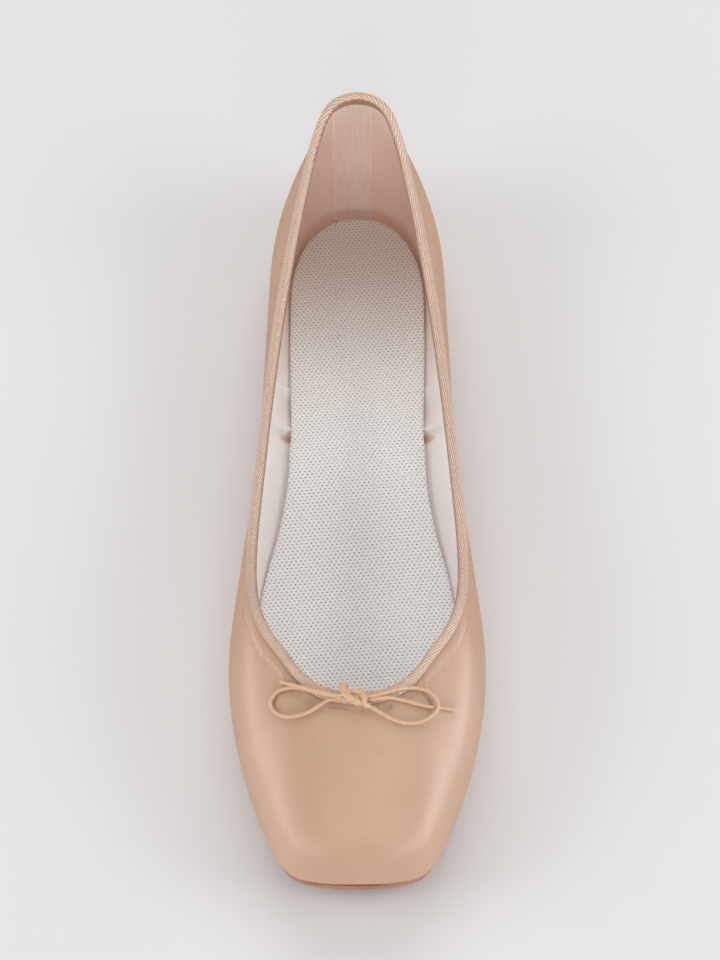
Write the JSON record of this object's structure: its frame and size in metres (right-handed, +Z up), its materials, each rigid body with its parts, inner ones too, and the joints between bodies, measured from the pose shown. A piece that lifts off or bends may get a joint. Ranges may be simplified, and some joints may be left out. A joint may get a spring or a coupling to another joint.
{
  "type": "pointe shoe",
  "caption": "Satin ballet pointe shoe with a flat-tipped stiff toe box, thin leather outsole, canvas insole, twill-bound collar and a drawstring tied in a bow.",
  "frame": {"origin": "on the floor, under the middle of the shoe's length and width", "axes": "+Z up from the floor, -Y towards the toe, +Y towards the heel, +X to the right seen from above with the toe nearest"},
  "size_m": [0.0746, 0.239, 0.0629],
  "materials": {
    "satin": "satin weave with a soft gloss",
    "twill": "twill tape with shiny diagonal ribs",
    "outsole_leather": "plain buffed leather with a cut edge",
    "canvas": "matt woven canvas",
    "cotton_tape": "matt cotton tape",
    "drawstring": "thin woven elastic cord"
  },
  "bodies": {
    "root": {"outsole": "outsole_leather", "upper": "satin", "insole": "canvas", "collar_binding": "twill", "heel_tape": "cotton_tape", "drawstring_knot": "drawstring", "drawstring_loop_left": "drawstring", "drawstring_end_left": "drawstring", "drawstring_loop_right": "drawstring", "drawstring_end_right": "drawstring"}
  },
  "joints": []
}
